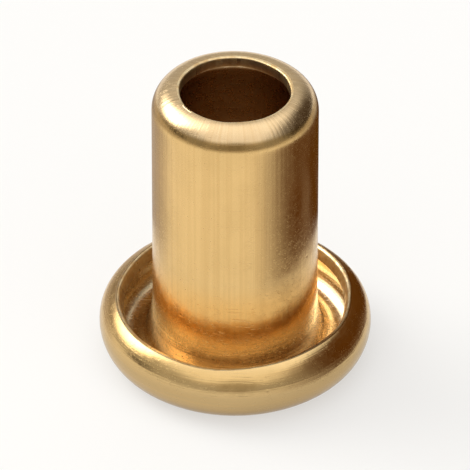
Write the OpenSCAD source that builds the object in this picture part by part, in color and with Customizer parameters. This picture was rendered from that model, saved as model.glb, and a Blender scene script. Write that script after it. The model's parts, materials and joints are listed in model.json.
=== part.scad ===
// Beehive frame eyelet, one piece of thin brass sheet.
// The sheet is drawn into a small cup, pierced at its tip and trimmed, and its mouth
// is flared and rolled back, so that the whole eyelet is one section turned about Z.
// It stands on its rolled flange: the origin is the centre of that face, and +Z runs
// along the barrel to the tip. Sizes are in millimetres and angles in degrees.

/* [Sheet] */
// Thickness of the brass sheet, the same all over
sheet = 0.25; // [0.15:0.05:0.35]

/* [Barrel] */
// Outer diameter of the barrel, which is pressed into the hole of the frame bar
barrel_d = 3.0; // [2.4:0.1:4.0]
// Overall height from the face of the flange to the tip
height = 5.75; // [4.0:0.25:10.0]

/* [Tip] */
// Outer radius of the bend that draws the tip in
tip_bend = 0.45; // [0.4:0.05:0.6]
// How far the edge of the pierced hole stands in from the wall of the bore
tip_lip = 0.25; // [0.1:0.05:0.5]

/* [Flange] */
// How far the flange stands out from the barrel all round
flange_reach = 1.0; // [0.9:0.05:1.4]
// How far out from the barrel the ring lies that the eyelet stands on
crown_reach = 0.4; // [0.35:0.05:0.5]
// Radius of the tight bend at the bottom of the gutter behind the flange
foot_bend = 0.3; // [0.2:0.05:0.3]
// How far above the flange the mouth begins to spread, so that the bar seats on the flange
seat_rise = 0.05; // [0.05:0.05:0.3]
// How far the flange is rolled up and back, counted from its lowest ring
roll_angle = 160; // [95:5:190]

/* [Hidden] */
$fn = 96;

barrel_r = barrel_d / 2;
bore_r = barrel_r - sheet;

// The bend at the tip is centred this far from the axis
tip_centre = barrel_r - tip_bend;
tip_hole_r = bore_r - tip_lip;

// The flange touches a table along one ring, and its roll is centred over it
crown_r = barrel_r + crown_reach;
roll_r = flange_reach - crown_reach;

// The mouth spreads from the barrel by an easy bend, which runs into the tight one at its
// foot where their tangents agree: both together go this far out and this far down
mouth_top = 2 * roll_r + seat_rise;
ease_out = crown_reach - foot_bend;
ease_down = mouth_top - foot_bend - sheet;
mouth_angle = 2 * atan(ease_out / ease_down);
mouth_bend = foot_bend + (ease_out * ease_out + ease_down * ease_down) / (2 * ease_out);

// Straight steps in the edge of the fan that cuts a bend out of a ring
fan_steps = 6;

// Bend of the sheet in section: part of a ring of outer radius r, between two angles
module bend(centre, r, start, end) {
    translate(centre)
        intersection() {
            difference() {
                circle(r);
                circle(r - sheet);
            }
            fan(2 * r, start, end);
        }
}

// Fan of the plane between two angles, wide enough to hold what it cuts
module fan(reach, start, end) {
    polygon(concat(
        [[0, 0]],
        [for (i = [0 : fan_steps])
            let (a = start + (end - start) * i / fan_steps)
            [reach * cos(a), reach * sin(a)]]));
}

// Wall drawn in at the tip, and the edge of the hole pierced through it
module tip_section() {
    difference() {
        union() {
            bend([tip_centre, height - tip_bend], tip_bend, 0, 90);
            if (tip_hole_r < tip_centre)
                translate([tip_hole_r, height - sheet])
                    square([tip_centre - tip_hole_r, sheet]);
        }
        translate([0, height - tip_bend])
            square([tip_hole_r, tip_bend]);
    }
}

// Straight wall of the barrel, from the mouth up to the bend at the tip
module wall_section() {
    translate([bore_r, mouth_top])
        square([sheet, height - tip_bend - mouth_top]);
}

// Trumpet mouth, from the bore down and out to the ring that the eyelet stands on
module mouth_section() {
    bend([barrel_r + mouth_bend, mouth_top], mouth_bend + sheet, 180, 180 + mouth_angle);
    bend([crown_r, foot_bend + sheet], foot_bend + sheet, 180 + mouth_angle, 270);
}

// Rim rolled up and back from that ring, which leaves a gutter round the barrel
module roll_section() {
    bend([crown_r, roll_r], roll_r, -90, roll_angle - 90);
}

module eyelet() {
    color("#D9B36C")
        rotate_extrude()
            union() {
                tip_section();
                wall_section();
                mouth_section();
                roll_section();
            }
}

eyelet();
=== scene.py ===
"""Looks of a beehive frame eyelet: one piece of brass sheet, drawn, pierced and rolled.

The eyelet is lathed here from the same arcs as its solid, with the small errors and marks
that its making leaves on it. Lengths are in metres, apart from the patterns of its finish,
which are laid out in millimetres. Bearings are in degrees from +X towards +Y.
"""
import json
import math

import bpy
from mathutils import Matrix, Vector


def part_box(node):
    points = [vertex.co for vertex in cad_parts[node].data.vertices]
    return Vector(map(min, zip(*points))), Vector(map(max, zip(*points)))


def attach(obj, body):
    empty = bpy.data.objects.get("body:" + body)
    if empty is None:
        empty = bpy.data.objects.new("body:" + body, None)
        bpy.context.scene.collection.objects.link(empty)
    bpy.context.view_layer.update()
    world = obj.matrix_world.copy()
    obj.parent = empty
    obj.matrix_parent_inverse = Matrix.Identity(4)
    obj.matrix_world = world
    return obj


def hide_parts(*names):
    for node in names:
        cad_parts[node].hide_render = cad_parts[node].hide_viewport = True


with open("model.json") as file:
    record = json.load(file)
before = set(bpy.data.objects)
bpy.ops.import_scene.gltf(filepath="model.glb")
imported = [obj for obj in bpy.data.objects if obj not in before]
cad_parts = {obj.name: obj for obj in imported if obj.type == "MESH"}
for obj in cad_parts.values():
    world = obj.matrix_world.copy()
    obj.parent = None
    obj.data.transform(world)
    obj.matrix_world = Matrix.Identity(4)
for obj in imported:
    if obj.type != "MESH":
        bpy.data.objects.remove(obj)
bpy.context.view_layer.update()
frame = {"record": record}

MM = 0.001

# Sizes that the frame gives: its box, and the two mounts along the straight barrel
MOUNTS = {mount["name"]: mount for mount in frame["record"]["mounts"]}
LOW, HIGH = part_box("eyelet")
BARREL_R = MOUNTS["barrel"]["dims"]["r_mm"] * MM
BORE_R = MOUNTS["wire_bore"]["dims"]["r_mm"] * MM
MOUTH_TOP = MOUNTS["barrel"]["pos_m"][2] - MOUNTS["barrel"]["dims"]["length_mm"] * MM / 2
SHEET = BARREL_R - BORE_R
HEIGHT = HIGH.z - LOW.z
FLANGE_R = (HIGH.x - LOW.x) / 2

# Bends of the sheet, as in the solid
TIP_BEND = 0.45 * MM
TIP_LIP = 0.25 * MM
CROWN_REACH = 0.4 * MM
FOOT_BEND = 0.3 * MM
ROLL_TURN = 160

TIP_HOLE_R = BORE_R - TIP_LIP
TIP_CENTRE = Vector((BARREL_R - TIP_BEND, HEIGHT - TIP_BEND))
CROWN_R = BARREL_R + CROWN_REACH
ROLL_R = FLANGE_R - CROWN_R
ROLL_CENTRE = Vector((CROWN_R, ROLL_R))
FOOT_CENTRE = Vector((CROWN_R, FOOT_BEND + SHEET))

# The mouth's easy bend and its tight one meet where their tangents agree
EASE_OUT = CROWN_REACH - FOOT_BEND
EASE_DOWN = MOUTH_TOP - FOOT_BEND - SHEET
MOUTH_TURN = math.degrees(2 * math.atan(EASE_OUT / EASE_DOWN))
MOUTH_BEND = FOOT_BEND + (EASE_OUT ** 2 + EASE_DOWN ** 2) / (2 * EASE_OUT)
MOUTH_CENTRE = Vector((BARREL_R + MOUTH_BEND, MOUTH_TOP))

# Corners that shearing leaves on the two cut edges of the sheet: one rounded, one sharp
DIE_ROLL = 0.07 * MM
BURR = 0.025 * MM

# Fineness of the lathed mesh: segments to a turn, and steps along each part of the section,
# first on the face that is the outside of the barrel, then on the face that is its bore
SEGMENTS = 288
TIP_STEPS = 18, 10
WALL_STEPS = 56, 30
MOUTH_STEPS = 10, 10
FOOT_STEPS = 12, 14
ROLL_STEPS = 24, 40
DIE_ROLL_STEPS = 5
BURR_STEPS = 3

# Stretches of the section, in the order of section(), that dents can lie on
OUTER_STRETCHES = slice(1, 8)

# Waves round the eyelet: how many to a turn, how high, and the bearing of a crest. Those of the
# roll are in degrees of its turn.
ROLL_WAVES = ((1, 2.5, 40), (2, 3.0, 150), (5, 1.2, 10), (9, 0.6, 75))
RIM_WAVES = ((2, 0.008 * MM, 20), (3, 0.006 * MM, 200), (7, 0.002 * MM, 90))
TIP_WAVES = ((2, 0.010 * MM, 65), (3, 0.004 * MM, 310))
HOLE_WAVES = ((1, 0.018 * MM, 250), (3, 0.010 * MM, 100), (8, 0.004 * MM, 30))

# How far the rim and the tip are drawn in all round, so that their waves stay in the solid's box
RIM_DRAWN_IN = 0.016 * MM
TIP_DRAWN_IN = 0.014 * MM

# Dents from tumbling: bearing, and in millimetres the height, the width and the depth
DENTS = (
    (262, 4.1, 0.26, 0.012),
    (301, 2.6, 0.20, 0.009),
    (238, 1.8, 0.17, 0.008),
    (205, 3.5, 0.28, 0.012),
    (342, 4.7, 0.18, 0.010),
    (25, 3.0, 0.24, 0.012),
    (110, 4.4, 0.22, 0.010),
    (150, 2.2, 0.26, 0.011),
    (248, 0.8, 0.16, 0.012),
    (283, 0.4, 0.14, 0.010),
    (318, 0.9, 0.20, 0.016),
    (190, 0.7, 0.18, 0.014),
    (75, 0.6, 0.20, 0.014),
    (275, 5.5, 0.12, 0.009),
)

# How near in height a point of the skin has to be to carry a dent's centre, and how many of its
# widths a dent reaches
DENT_NEAR = 0.06 * MM
DENT_WIDTHS = 3

# Tool marks, by the width of one line in millimetres. Real ones are about 0.01 mm apart, and
# these are as coarse as they need to be to show in the render.
DRAW_LINE = 0.06
SHEAR_LINE = 0.035
LINE_LENGTH = 6.25
LINE_DETAIL = 3.0
FORMING_RING = 0.05
RING_WANDER = 0.05
RING_DETAIL = 2.0

# Noise in the finish, as cells to a millimetre and how much finer detail they hold: tarnish in
# blotches of 0.9 mm, a swell of 0.6 mm where the sheet was stretched, the grain of tumbling at
# 0.11 mm, which is coarser than real so that it shows, and tears of 0.17 mm in the cut edges
BLOTCHES = {"Scale": 1.1, "Detail": 3.0}
SWELL = {"Scale": 1.7, "Detail": 1.0}
GRAIN = {"Scale": 9.0, "Detail": 3.0}
TEARS = {"Scale": 6.0, "Detail": 4.0}

# Families of scratches: how they are turned, how long and wide in millimetres their needles
# are, and the share kept. Real ones are about a quarter as wide, and these are about as wide
# as a pixel of the render, which is the least that shows.
SCRATCHES = (
    ((0.3, 0.9, 0.2), 1.6, 0.016, 0.25),
    ((1.9, 0.3, 2.2), 1.1, 0.014, 0.24),
    ((0.9, 2.1, 1.2), 0.7, 0.020, 0.18),
    ((2.6, 1.3, 0.5), 2.2, 0.012, 0.22),
)

# A needle's share of the width of its cell, the distances from the middle of the cell between
# which it comes up, and how softly chance picks the needles that are kept
NEEDLE_SHARE = 0.5
NEEDLE = 0.42, 0.1
CHANCE_FADE = 0.12

# Knocks: how many cells to a millimetre, how wide in millimetres the knock in a cell is, and
# the levels of chance between which a cell comes to hold one
KNOCKS = ((1.6, 0.09), (3.1, 0.045))
KNOCK_CHANCE = 0.6, 0.9

# Where the places on the skin are counted from, in millimetres: out from the barrel's wall, and
# up from the top of the mouth or from the tip
DATUMS = {
    "from_barrel": ("radius", BARREL_R / MM),
    "from_mouth": ("height", MOUTH_TOP / MM),
    "from_tip": ("height", HEIGHT / MM),
}

# Zones of the skin. Each measure goes from the level where the zone hasn't begun to the one
# where it is whole. The distance from_ring is from the ring that the roll is bent round.
ZONES = {
    "barrel": (("from_mouth", -0.2, 0.2),),
    "roll_inside": (("from_ring", 0.56, 0.42), ("from_mouth", 0.25, -0.25)),
    "foot": (("from_barrel", 0.45, 0.25), ("from_mouth", 0.2, -0.2)),
    # Bottom of the gutter, where painted shade lies
    "gutter_bottom": (("from_barrel", 0.45, 0.25), ("from_mouth", -0.3, -0.47)),
    # Low on the barrel, where a painted orange reflection lies
    "low_barrel_reflection": (("from_barrel", 0.3, 0.1), ("from_mouth", 1.25, 0.55), ("from_mouth", -0.25, 0.05)),
    "lower": (("from_mouth", 3.35, 0.35),),
    "bore": (("from_barrel", -0.08, -0.2), ("from_tip", -0.05, -0.3)),
    "crest": (("from_mouth", -0.23, -0.07), ("from_barrel", 0.22, 0.32), ("from_mouth", 0.25, 0.05)),
    "equator": (("from_barrel", 0.88, 0.98),),
    # Underneath the roll, where painted shade lies
    "shade_under_roll": (("from_mouth", -0.3, -0.63), ("from_barrel", 0.4, 0.6)),
    # Ring round the shoulder of the tip, where a painted shade line lies
    "shoulder": (("from_tip", -0.37, -0.29), ("from_tip", -0.15, -0.21), ("from_barrel", -0.35, -0.25)),
    # Lip, where a painted highlight lies
    "lip_highlight": (("from_tip", -0.23, -0.15), ("from_barrel", -0.52, -0.48)),
    "blotchy": (("blotches", 0.35, 0.68),),
    "rubbed": (("blotches", 0.3, 0.6),),
    "grainy": (("grain", 0.3, 0.7),),
}

# Levels of the tool marks between which they darken the skin
LINED = 0.35, 0.7

# Olive over the golden skin: tarnish in blotches, and a tone that grows towards the bottom
OLIVE = (("blotchy", 0.6), ("lower", 0.4))

# Least share that the scratches and the painted shade round the shoulder keep where the blotches
SCRATCHES_LEAST = 0.3
SHOULDER_LEAST = 0.4

# Golden brass, and the coats of colour over it: where each one lies, how strong it is at most
# and its colour
SKIN_COLOUR = "#E9C384"
COATS = (
    ("olive", 1.0, "#DCB87B"),
    # Grey underneath the roll, painted shade, and brown round the shoulder of the tip, a painted
    #     # shade line
    ("shade_under_roll", 0.8, "#9A825B"),
    ("shoulder_shade", 0.75, "#93713F"),
    # Pale on the lip, a painted highlight that whitens its glint
    ("lip_highlight", 0.6, "#E8CFAA"),
    # Warm low on the barrel, a painted orange reflection of the gutter, and darker in the tool marks
    ("low_barrel_reflection", 0.5, "#F2B65E"),
    ("lined", 0.22, "#C59A5C"),
    # Brown inside, where tumbling doesn't reach
    ("bore", 0.8, "#8C6746"),
    # Pale in the gutter, painted light that brightens the light going from wall to wall and turning
    #     # orange there, and dark at its bottom, painted shade
    ("gutter", 1.0, "#FFE8BC"),
    ("gutter_bottom", 0.55, "#9A6C34"),
    # Bright where the roll rubs
    ("crest", 0.5, "#F3D49C"),
    ("equator", 0.25, "#F3D49C"),
)

# Roughness of the bright skin, and what each zone or mark adds to it
SKIN_ROUGHNESS = 0.19
ROUGHER = (("grainy", 0.08), ("bore", 0.06), ("crest", -0.04), ("equator", -0.02), ("scored", 0.08))

# Relief of the skin: how many millimetres each pattern stands out or is sunk
RELIEF = (
    ("swell", 0.010), ("marks", 0.0035), ("knocks", -0.003), ("scored", -0.0009), ("grain", 0.0008))

# Cut edges: colour and roughness of the bare brass, of its torn places and of its shear lines,
# and the relief of both in millimetres
EDGE_COLOUR = "#F6DDAE"
TORN_COLOUR = "#E0BE88"
EDGE_ROUGHNESS = 0.26
TORN_ROUGHER = 0.14
SHEARED_ROUGHER = 0.10
TORN_LEVELS = 0.4, 0.65
SHEAR_LEVELS = 0.3, 0.7
EDGE_RELIEF = 0.003

# The photograph looks down on the eyelet from this bearing and elevation, from far off
CAMERA_FROM = -90, 37
LENS_MM = 500
SENSOR_MM = 36
VIEW_WIDTH = 8.5 * MM
VIEW_CENTRE = (0, 0, 2.5 * MM)

# Nearest and farthest that the camera sees, as shares of its distance
CLIP_NEAR = 0.1
CLIP_FAR = 20

# Round floor of white card, and the share of its look that is plain white whatever light
# falls on it
FLOOR_R = 400 * MM
FLOOR_SIDES = 96
CARD_COLOUR = "#F0EFED"
CARD_ROUGHNESS = 0.9
CARD_SHINE = 0.1
PLAIN_COLOUR = "#FCFBF9"
PLAIN_SHARE = 0.6

# A film that is bent round the eyelet and shows only in its reflections: its radius, the
# bearings of its two ends, the degrees from one of its points to the next, the heights of its
# foot and its top, and its colour
FILM_R = 4.4 * MM
FILM_BEARINGS = -75, 190
FILM_STEP = 5
FILM_FOOT = 0.05 * MM
FILM_TOP = 4.8 * MM
FILM_COLOUR = "#5E3A0C"

# Where the film is dark: the bearing of the middle, how far to both sides it is full and gone,
# and how dark it is
FILM_SHADES = ((20, 28, 97, 1.0), (142, 4, 46, 0.55))

# Heights in millimetres at which the smoke is gone and full, at its foot and at its top
FOOT_FADE = -0.8, 0.3
TOP_FADE = FILM_TOP / MM, 3.8

# Mottle in the smoke, in cells of 1.25 mm: where it is worn off, and by how much
MOTTLE = {"Scale": 0.8, "Detail": 2.0}
MOTTLE_LEVELS = 0.45, 0.75
WORN_OFF = 0.12

# Walls of the studio, and the large soft patches on them, each laid over those before it: its
# bearing and elevation, the angles at which it is full and gone, its colour and its strength
STUDIO_WALLS = "#D1D0CD", 0.78
STUDIO_PATCHES = (
    (0, 90, 25, 58, "#FFFFFF", 1.3),
    (154, 35, 10, 26, "#FFFEFA", 4.8),
    (-90, 58, 20, 50, "#FFFFFF", 1.2),
    (-90, 22, 4, 27, "#B8B1A5", 0.85),
    (20, 15, 20, 50, "#6A5A48", 0.5),
    (188, 3, 6, 16, "#5A5046", 0.7),
)

# Wide key lamp: its bearing and elevation, how wide it looks in degrees, and its strength
KEY_FROM = 150, 45
KEY_WIDTH = 50
KEY_STRENGTH = 0.35


def linear(code):
    """Colour of an sRGB hex code such as #E9C481, in linear light with alpha."""
    parts = [int(code[i:i + 2], 16) / 255 for i in (1, 3, 5)]
    return [p / 12.92 if p <= 0.04045 else ((p + 0.055) / 1.055) ** 2.4 for p in parts] + [1]


def add(tree, kind, inputs=None, **settings):
    """Adds a node with its settings, and sets each of its inputs or links it.

    An input that is given a node takes that node's first output.
    """
    made = tree.nodes.new(kind)
    for name, value in settings.items():
        setattr(made, name, value)
    for socket, value in (inputs or {}).items():
        if isinstance(value, bpy.types.Node):
            value = value.outputs[0]
        if isinstance(value, bpy.types.NodeSocket):
            tree.links.new(value, made.inputs[socket])
        else:
            made.inputs[socket].default_value = value
    return made


def link_to_scene(thing):
    """Puts an object into the scene."""
    bpy.context.scene.collection.objects.link(thing)


def cosine(degrees):
    """Cosine of an angle in degrees."""
    return math.cos(math.radians(degrees))


def polar(radius, degrees):
    """Point at this distance and angle from the origin of the section."""
    angle = math.radians(degrees)
    return Vector((radius * math.cos(angle), radius * math.sin(angle)))


def round_to(bearing):
    """Unit vector in plan at this bearing."""
    angle = math.radians(bearing)
    return Vector((math.cos(angle), math.sin(angle), 0))


def turned(way, across, up):
    """A point or a direction of the section, turned to this way in plan."""
    return way * across + Vector((0, 0, up))


def towards(bearing, elevation):
    """Unit vector to a place on the studio's walls."""
    up = math.radians(elevation)
    return turned(round_to(bearing), math.cos(up), math.sin(up))


def waves(listed, bearing):
    """Sum of the listed waves round the eyelet at one bearing."""
    return sum(high * cosine(count * (bearing - first)) for count, high, first in listed)


def arc(centre, radius, start, end, steps):
    """Points of an arc in the section, from one angle in degrees to another."""
    return [centre + polar(radius, start + (end - start) * i / steps) for i in range(steps + 1)]


def wall(radius, start, end, steps):
    """Points of a straight wall in the section, without its two ends."""
    return [Vector((radius, start + (end - start) * i / steps)) for i in range(1, steps)]


def pierced_edge(hole_r):
    """Edge of the hole at the tip, sheared from inside the cup: its burr stands on the outside."""
    top, bottom = HEIGHT, HEIGHT - SHEET
    rounded = arc(Vector((hole_r + DIE_ROLL, bottom + DIE_ROLL)), DIE_ROLL, 270, 180, DIE_ROLL_STEPS)
    sharp = arc(Vector((hole_r + BURR, top - BURR)), BURR, 180, 90, BURR_STEPS)
    return rounded + sharp


def trimmed_edge(end):
    """Edge of the rolled rim, from the gutter's side over to the outside."""
    across, along = polar(1, end), polar(1, end + 90)
    inner = ROLL_CENTRE + across * (ROLL_R - SHEET + BURR) - along * BURR
    outer = ROLL_CENTRE + across * (ROLL_R - DIE_ROLL) - along * DIE_ROLL
    sharp = arc(inner, BURR, end + 180, end + 90, BURR_STEPS)
    return sharp + arc(outer, DIE_ROLL, end + 90, end, DIE_ROLL_STEPS)


def section(bearing):
    """The closed section of the sheet at one bearing, as stretches of points with their finish.

    The turn of the roll and the size of the pierced hole vary a little round the eyelet. Each
    stretch leaves out the end points that its neighbours have.
    """
    end = ROLL_TURN - 90 + waves(ROLL_WAVES, bearing)
    meet = 180 + MOUTH_TURN
    return [
        ("cut", pierced_edge(TIP_HOLE_R + waves(HOLE_WAVES, bearing))),
        ("skin", arc(TIP_CENTRE, TIP_BEND, 90, 0, TIP_STEPS[0])),
        ("skin", wall(BARREL_R, TIP_CENTRE.y, MOUTH_TOP, WALL_STEPS[0])),
        ("skin", arc(MOUTH_CENTRE, MOUTH_BEND, 180, meet, MOUTH_STEPS[0])[:-1]),
        ("skin", arc(FOOT_CENTRE, FOOT_BEND, meet, 270, FOOT_STEPS[0])[:-1]),
        ("skin", arc(ROLL_CENTRE, ROLL_R - SHEET, -90, end, ROLL_STEPS[0])[:-1]),
        ("cut", trimmed_edge(end)),
        ("skin", arc(ROLL_CENTRE, ROLL_R, end, -90, ROLL_STEPS[1])[1:]),
        ("skin", arc(FOOT_CENTRE, FOOT_BEND + SHEET, 270, meet, FOOT_STEPS[1])[1:-1]),
        ("skin", arc(MOUTH_CENTRE, MOUTH_BEND + SHEET, meet, 180, MOUTH_STEPS[1])),
        ("skin", wall(BORE_R, MOUTH_TOP, TIP_CENTRE.y, WALL_STEPS[1])),
        ("skin", arc(TIP_CENTRE, TIP_BEND - SHEET, 0, 90, TIP_STEPS[1])),
    ]


def outward(points):
    """Unit normals of the closed section, pointing out of the sheet."""
    count = len(points)
    runs = [points[(i + 1) % count] - points[i - 1] for i in range(count)]
    return [Vector((run.y, -run.x)).normalized() for run in runs]


def dent_places():
    """Each dent's centre on the outer skin, the way out of the sheet there, its width and depth."""
    skin = [p for finish, stretch in section(0)[OUTER_STRETCHES] if finish == "skin"
            for p in stretch if p.x > BARREL_R - TIP_BEND]
    places = []
    for bearing, up, width, depth in DENTS:
        height = up * MM
        spot = max((p for p in skin if abs(p.y - height) < DENT_NEAR), key=lambda p: p.x)
        inside = Vector((TIP_CENTRE.x, min(height, TIP_CENTRE.y)))
        centre = ROLL_CENTRE if height < MOUTH_TOP else inside
        out = (spot - centre).normalized()
        way = round_to(bearing)
        places.append((turned(way, *spot), turned(way, *out), width * MM, depth * MM))
    return places


def dented(place, normal, dents):
    """How far the dents push this point of the skin in."""
    depth = 0
    for centre, out, width, deep in dents:
        far = (place - centre).length / width
        if far < DENT_WIDTHS:
            depth += deep * math.exp(-far * far) * max(0, normal.dot(out))
    return depth


def worn(point, bearing):
    """A point of the section after the small errors of rolling and of drawing the tip in."""
    r, z = point
    rim = max(0, min(1, (r - CROWN_R) / ROLL_R))
    tip = max(0, min(1, (z - MOUTH_TOP) / (HEIGHT - MOUTH_TOP)))
    r -= rim * (RIM_DRAWN_IN + waves(RIM_WAVES, bearing))
    r -= tip * (TIP_DRAWN_IN + waves(TIP_WAVES, bearing))
    return r, z


def eyelet_mesh(materials):
    """Turns the section about Z into one closed skin."""
    dents = dent_places()
    names = list(materials)
    vertices, faces, slots = [], [], []
    for s in range(SEGMENTS):
        bearing = 360 * s / SEGMENTS
        way = round_to(bearing)
        stretches = section(bearing)
        points = [p for finish, stretch in stretches for p in stretch]
        for point, normal in zip(points, outward(points)):
            place = turned(way, *worn(point, bearing))
            out = turned(way, *normal)
            vertices.append(place - out * dented(place, out, dents))
    finishes = [names.index(finish) for finish, stretch in stretches for p in stretch]
    count = len(finishes)
    for s in range(SEGMENTS):
        here, there = s * count, (s + 1) % SEGMENTS * count
        for i in range(count):
            j = (i + 1) % count
            faces.append((here + i, here + j, there + j, there + i))
            slots.append(finishes[i])
    mesh = bpy.data.meshes.new("eyelet_skin")
    mesh.from_pydata(vertices, [], faces)
    for material in materials.values():
        mesh.materials.append(material)
    mesh.polygons.foreach_set("material_index", slots)
    mesh.shade_smooth()
    mesh.validate()
    return mesh


def new_material(name):
    """An empty node material, with its tree."""
    material = bpy.data.materials.new(name)
    material.use_nodes = True
    tree = material.node_tree
    tree.nodes.clear()
    return material, tree


def millimetres(tree):
    """The eyelet's own coordinates in millimetres: whole, radius and height, and the way round."""
    place = add(tree, "ShaderNodeTexCoord").outputs["Object"]
    mm = add(tree, "ShaderNodeVectorMath", {0: place, "Scale": 1 / MM}, operation="SCALE")
    plan = add(tree, "ShaderNodeVectorMath", {0: mm, 1: (1, 1, 0)}, operation="MULTIPLY")
    radius = add(tree, "ShaderNodeVectorMath", {0: plan}, operation="LENGTH").outputs["Value"]
    way = add(tree, "ShaderNodeVectorMath", {0: plan}, operation="NORMALIZE")
    height = add(tree, "ShaderNodeSeparateXYZ", {0: mm}).outputs["Z"]
    return mm, radius, height, way


def zone(tree, *bounds):
    """Share of a place in a zone.

    Each bound is a value with two levels. The share rises by a smooth step from the level where
    the zone hasn't begun to the one where it is whole.
    """
    share = None
    for value, gone, whole in bounds:
        step = add(tree, "ShaderNodeMapRange", {"Value": value, "From Min": gone, "From Max": whole},
                   interpolation_type="SMOOTHSTEP")
        if share:
            step = add(tree, "ShaderNodeMath", {0: share, 1: step}, operation="MULTIPLY")
        share = step
    return share


def built_up(tree, start, parts):
    """A value with others added to it, each times its weight."""
    for value, weight in parts:
        start = add(tree, "ShaderNodeMath", {0: value, 1: weight, 2: start}, operation="MULTIPLY_ADD")
    return start


def coated(tree, colour, coats):
    """A colour with others laid over it, each in its place and at most as strong as its share."""
    for place, share, code in coats:
        amount = add(tree, "ShaderNodeMath", {0: place, 1: share}, operation="MULTIPLY")
        colour = add(tree, "ShaderNodeMix", {0: amount, 6: colour, 7: linear(code)},
                     data_type="RGBA").outputs[2]
    return colour


def embossed(tree, patterns):
    """Relief of several patterns, one over the other, each so many millimetres deep."""
    relief = None
    for pattern, depth in patterns:
        inputs = {"Height": pattern, "Distance": depth * MM, "Strength": 1.0}
        if relief:
            inputs["Normal"] = relief
        relief = add(tree, "ShaderNodeBump", inputs)
    return relief


def draw_lines(tree, mm, way, width):
    """Fine lines along the barrel, left by the drawing die: noise that is stretched along Z."""
    along = add(tree, "ShaderNodeVectorMath", {0: mm, 1: (0, 0, 1 / LINE_LENGTH)}, operation="MULTIPLY")
    lines = BARREL_R / MM / width
    at = add(tree, "ShaderNodeVectorMath", {0: way, 1: (lines, lines, 0), 2: along},
             operation="MULTIPLY_ADD")
    return add(tree, "ShaderNodeTexNoise", {0: at, "Scale": 1.0, "Detail": LINE_DETAIL})


def forming_rings(tree, radius, height, way, width):
    """Fine rings round the flange, left by the rolling tool, which wander a little off centre."""
    across = add(tree, "ShaderNodeCombineXYZ", {0: radius, 1: height})
    at = add(tree, "ShaderNodeVectorMath", {0: way, 1: (RING_WANDER,) * 3, 2: across},
             operation="MULTIPLY_ADD")
    return add(tree, "ShaderNodeTexNoise", {0: at, "Scale": 1 / width, "Detail": RING_DETAIL})


def scratches(tree, mm):
    """Straight scratches with thin ends: Voronoi cells drawn out into needles, some of them kept."""
    families = []
    for turn, length, width, kept in SCRATCHES:
        across = NEEDLE_SHARE / width
        at = add(tree, "ShaderNodeMapping", {
            0: mm, "Rotation": turn, "Scale": (1 / length, across, across)})
        cells = add(tree, "ShaderNodeTexVoronoi", {0: at, "Scale": 1.0})
        chance = add(tree, "ShaderNodeSeparateColor", {0: cells.outputs["Color"]})
        needle = zone(tree, (cells.outputs["Distance"], *NEEDLE),
                      (chance.outputs[0], kept, kept - CHANCE_FADE))
        families.append((needle, 1.0))
    return built_up(tree, 0.0, families)


def knocks(tree, mm):
    """Small round knocks from tumbling, one in some cells of a Voronoi pattern."""
    sizes = []
    for scale, width in KNOCKS:
        cells = add(tree, "ShaderNodeTexVoronoi", {0: mm, "Scale": scale})
        chance = add(tree, "ShaderNodeSeparateColor", {0: cells.outputs["Color"]})
        bowl = zone(tree, (cells.outputs["Distance"], width * scale, 0.0),
                    (chance.outputs[0], *KNOCK_CHANCE))
        sizes.append((bowl, 1.0))
    return built_up(tree, 0.0, sizes)


def weighed(parts, weights):
    """The named parts of a finish, each with its weight."""
    return [(parts[name], weight) for name, weight in weights]


def drawn_brass():
    """Brass sheet drawn, rolled and tumbled: a bright golden metal that mirrors softly.

    Its tool marks draw the highlights out, and a thin tarnish tones it down where nothing rubs.
    Its colour also holds painted shade under the roll, round the shoulder of the tip and at the
    bottom of the gutter, and painted light in the gutter, low on the barrel and on the lip.
    """
    material, tree = new_material("drawn_brass")
    mm, radius, height, way = millimetres(tree)
    across = add(tree, "ShaderNodeCombineXYZ", {0: radius, 1: height})
    from_ring = add(tree, "ShaderNodeVectorMath", {0: across, 1: (CROWN_R / MM, ROLL_R / MM, 0)},
                    operation="DISTANCE").outputs["Value"]
    parts = {
        "radius": radius,
        "height": height,
        "from_ring": from_ring,
        "blotches": add(tree, "ShaderNodeTexNoise", {0: mm, **BLOTCHES}),
        "grain": add(tree, "ShaderNodeTexNoise", {0: mm, **GRAIN}),
        "swell": add(tree, "ShaderNodeTexNoise", {0: mm, **SWELL}),
        "knocks": knocks(tree, mm),
    }
    for name, bounds in ZONES.items():
        levels = []
        for measure, gone, whole in bounds:
            value, datum = DATUMS.get(measure, (measure, 0))
            levels.append((parts[value], datum + gone, datum + whole))
        parts[name] = zone(tree, *levels)

    # The flange has the rings of the rolling tool, and the barrel has draw lines
    parts["marks"] = add(tree, "ShaderNodeMix", {
        0: parts["barrel"],
        2: forming_rings(tree, radius, height, way, FORMING_RING),
        3: draw_lines(tree, mm, way, DRAW_LINE)})
    parts["lined"] = zone(tree, (parts["marks"], *LINED))
    # The gutter, inside the roll and at the foot, where painted light brightens the colour
    parts["gutter"] = add(tree, "ShaderNodeMath", {0: parts["roll_inside"], 1: parts["foot"]},
                          operation="MAXIMUM")
    parts["olive"] = built_up(tree, 0.0, weighed(parts, OLIVE))
    # Painted shade round the shoulder of the tip, patchy where the blotches thin it out
    patchy = built_up(tree, SHOULDER_LEAST, [(parts["blotches"], 1.0)])
    parts["shoulder_shade"] = built_up(tree, 0.0, [(parts["shoulder"], patchy)])
    kept = built_up(tree, SCRATCHES_LEAST, [(parts["rubbed"], 1 - SCRATCHES_LEAST)])
    parts["scored"] = built_up(tree, 0.0, [(scratches(tree, mm), kept)])

    coats = [(parts[name], share, code) for name, share, code in COATS]
    shader = add(tree, "ShaderNodeBsdfPrincipled", {
        "Base Color": coated(tree, linear(SKIN_COLOUR), coats),
        "Metallic": 1.0,
        "Roughness": built_up(tree, SKIN_ROUGHNESS, weighed(parts, ROUGHER)),
        "Normal": embossed(tree, weighed(parts, RELIEF))})
    add(tree, "ShaderNodeOutputMaterial", {"Surface": shader})
    return material


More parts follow.
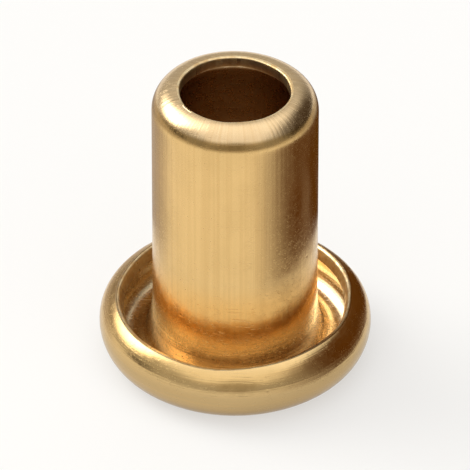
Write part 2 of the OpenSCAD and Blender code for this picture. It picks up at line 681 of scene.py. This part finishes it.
def sheared_brass():
    """Brass sheared through at the cut edges: bare metal, paler and rougher than the skin."""
    material, tree = new_material("sheared_brass")
    mm, radius, height, way = millimetres(tree)
    score = draw_lines(tree, mm, way, SHEAR_LINE)
    torn = zone(tree, (add(tree, "ShaderNodeTexNoise", {0: mm, **TEARS}), *TORN_LEVELS))
    roughness = built_up(tree, EDGE_ROUGHNESS, [
        (zone(tree, (score, *SHEAR_LEVELS)), SHEARED_ROUGHER), (torn, TORN_ROUGHER)])
    shader = add(tree, "ShaderNodeBsdfPrincipled", {
        "Base Color": coated(tree, linear(EDGE_COLOUR), [(torn, 1.0, TORN_COLOUR)]),
        "Metallic": 1.0,
        "Roughness": roughness,
        "Normal": embossed(tree, [(score, EDGE_RELIEF), (torn, EDGE_RELIEF)])})
    add(tree, "ShaderNodeOutputMaterial", {"Surface": shader})
    return material


def matt_card():
    """Matt white card, seen in part as plain white, so that its shadow stays faint."""
    material, tree = new_material("matt_card")
    lit = add(tree, "ShaderNodeBsdfPrincipled", {
        "Base Color": linear(CARD_COLOUR),
        "Roughness": CARD_ROUGHNESS,
        "Specular IOR Level": CARD_SHINE})
    plain = add(tree, "ShaderNodeEmission", {"Color": linear(PLAIN_COLOUR), "Strength": 1.0})
    path = add(tree, "ShaderNodeLightPath").outputs
    seen = built_up(tree, 0.0, [
        (path[ray], PLAIN_SHARE) for ray in ("Is Camera Ray", "Is Glossy Ray", "Is Transmission Ray")])
    mixed = add(tree, "ShaderNodeMixShader", {0: seen, 1: lit, 2: plain})
    add(tree, "ShaderNodeOutputMaterial", {"Surface": mixed})
    return material


def smoked_film():
    """Smoked film: dark and a little mottled in two patches, and clear round them."""
    material, tree = new_material("smoked_film")
    mm, radius, height, way = millimetres(tree)
    shades = []
    for bearing, full, gone, share in FILM_SHADES:
        near = add(tree, "ShaderNodeVectorMath", {0: way, 1: round_to(bearing)},
                   operation="DOT_PRODUCT").outputs["Value"]
        shade = zone(tree, (near, cosine(gone), cosine(full)),
                     (height, *FOOT_FADE), (height, *TOP_FADE))
        shades.append((shade, share))
    mottle = add(tree, "ShaderNodeTexNoise", {0: mm, **MOTTLE})
    smoke_left = built_up(tree, 1.0, [(zone(tree, (mottle, *MOTTLE_LEVELS)), -WORN_OFF)])
    dark = built_up(tree, 0.0, [(built_up(tree, 0.0, shades), smoke_left)])
    clear = add(tree, "ShaderNodeBsdfTransparent")
    smoke = add(tree, "ShaderNodeEmission", {"Color": linear(FILM_COLOUR), "Strength": 1.0})
    film = add(tree, "ShaderNodeMixShader", {0: dark, 1: clear, 2: smoke})
    add(tree, "ShaderNodeOutputMaterial", {"Surface": film})
    return material


def stage_object(name, points, faces, material):
    """A mesh of the stage, which isn't part of the eyelet."""
    mesh = bpy.data.meshes.new(name)
    mesh.from_pydata(points, [], faces)
    mesh.materials.append(material)
    made = bpy.data.objects.new(name, mesh)
    link_to_scene(made)
    return made


def make_floor():
    """Round pale floor that the eyelet stands on."""
    ring = [round_to(360 * i / FLOOR_SIDES) * FLOOR_R for i in range(FLOOR_SIDES)]
    stage_object("floor", ring, [tuple(range(FLOOR_SIDES))], matt_card())


def make_film():
    """The film, which no camera sees and which throws no shadow."""
    start, end = FILM_BEARINGS
    steps = math.ceil((end - start) / FILM_STEP)
    ways = [round_to(start + (end - start) * i / steps) for i in range(steps + 1)]
    points = [turned(way, FILM_R, z) for way in ways for z in (FILM_FOOT, FILM_TOP)]
    faces = [(2 * i, 2 * i + 1, 2 * i + 3, 2 * i + 2) for i in range(steps)]
    film = stage_object("film", points, faces, smoked_film())
    film.visible_camera = False
    film.visible_diffuse = False
    film.visible_shadow = False
    film.visible_transmission = False


def make_world():
    """The studio as patches of light and dark that stay where they are."""
    world = bpy.data.worlds.new("studio")
    bpy.context.scene.world = world
    world.use_nodes = True
    tree = world.node_tree
    tree.nodes.clear()
    place = add(tree, "ShaderNodeTexCoord").outputs["Generated"]
    colour, strength = STUDIO_WALLS
    light = add(tree, "ShaderNodeBackground", {"Color": linear(colour), "Strength": strength})
    for bearing, elevation, full, gone, colour, strength in STUDIO_PATCHES:
        near = add(tree, "ShaderNodeVectorMath", {0: place, 1: towards(bearing, elevation)},
                   operation="DOT_PRODUCT").outputs["Value"]
        share = zone(tree, (near, cosine(gone), cosine(full)))
        patch = add(tree, "ShaderNodeBackground", {"Color": linear(colour), "Strength": strength})
        light = add(tree, "ShaderNodeMixShader", {0: share, 1: light, 2: patch})
    add(tree, "ShaderNodeOutputWorld", {"Surface": light})


def aimed(name, data, back):
    """An object in the scene, turned so that this direction is straight behind it."""
    holder = bpy.data.objects.new(name, data)
    holder.rotation_mode = "QUATERNION"
    holder.rotation_quaternion = back.to_track_quat("Z", "Y")
    link_to_scene(holder)
    return holder


def make_key():
    """The key, a distant lamp whose width softens its shadow."""
    lamp = bpy.data.lights.new("key", "SUN")
    lamp.angle = math.radians(KEY_WIDTH)
    lamp.energy = KEY_STRENGTH
    aimed("key", lamp, towards(*KEY_FROM))


def make_camera():
    """Camera at the photograph's angle, far off behind a long lens."""
    camera = bpy.data.cameras.new("camera")
    camera.lens = LENS_MM
    camera.sensor_width = SENSOR_MM
    distance = VIEW_WIDTH * LENS_MM / SENSOR_MM
    camera.clip_start = distance * CLIP_NEAR
    camera.clip_end = distance * CLIP_FAR
    back = towards(*CAMERA_FROM)
    holder = aimed("camera", camera, back)
    holder.location = Vector(VIEW_CENTRE) + back * distance
    bpy.context.scene.camera = holder


def make_eyelet():
    """The eyelet, which stands for its solid."""
    materials = {"skin": drawn_brass(), "cut": sheared_brass()}
    eyelet = bpy.data.objects.new("eyelet_drawn", eyelet_mesh(materials))
    link_to_scene(eyelet)
    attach(eyelet, "root")
    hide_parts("eyelet")


bpy.context.scene.view_settings.view_transform = "Standard"
make_camera()
make_world()
make_key()
make_floor()
make_film()
make_eyelet()
